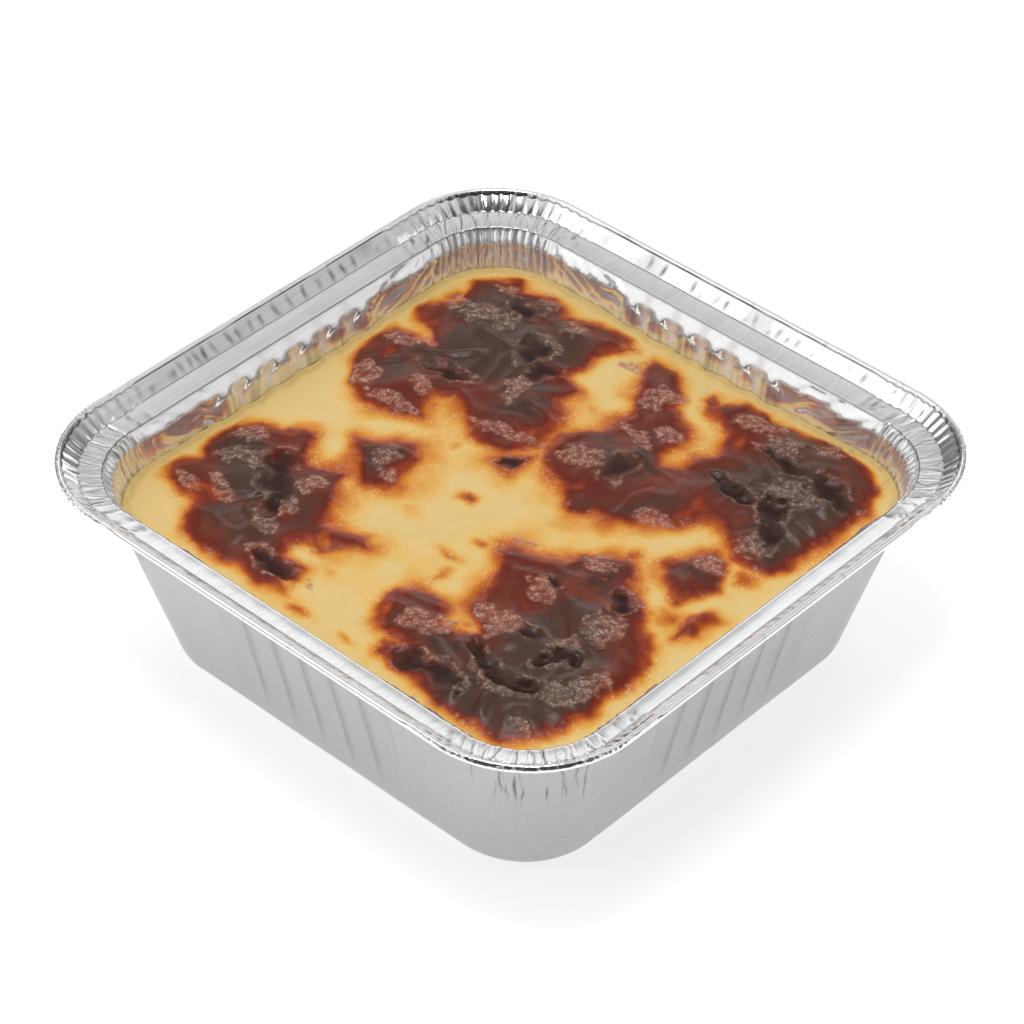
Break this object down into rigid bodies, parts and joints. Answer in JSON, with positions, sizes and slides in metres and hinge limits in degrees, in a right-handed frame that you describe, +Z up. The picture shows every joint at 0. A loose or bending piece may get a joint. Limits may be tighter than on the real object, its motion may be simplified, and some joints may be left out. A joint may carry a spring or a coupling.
{
  "type": "foil tray meal",
  "caption": "Square pressed foil tray with a rolled rim, flat ledge and fluted sides, filled with a creamy oven bake whose top is browned in patches.",
  "frame": {"origin": "middle of the underside, on the surface that the tray stands on", "axes": "+Z up through the open top, X and Y along the tray's sides; the picture looks from between +X and -Y"},
  "size_m": [0.2016, 0.1982, 0.0665],
  "materials": {
    "foil": "bright rolled foil with a satin ledge",
    "bake": "moist set cream, browned and burnt in glossy patches"
  },
  "bodies": {
    "root": {"tray": "foil", "filling": "bake"}
  },
  "joints": []
}
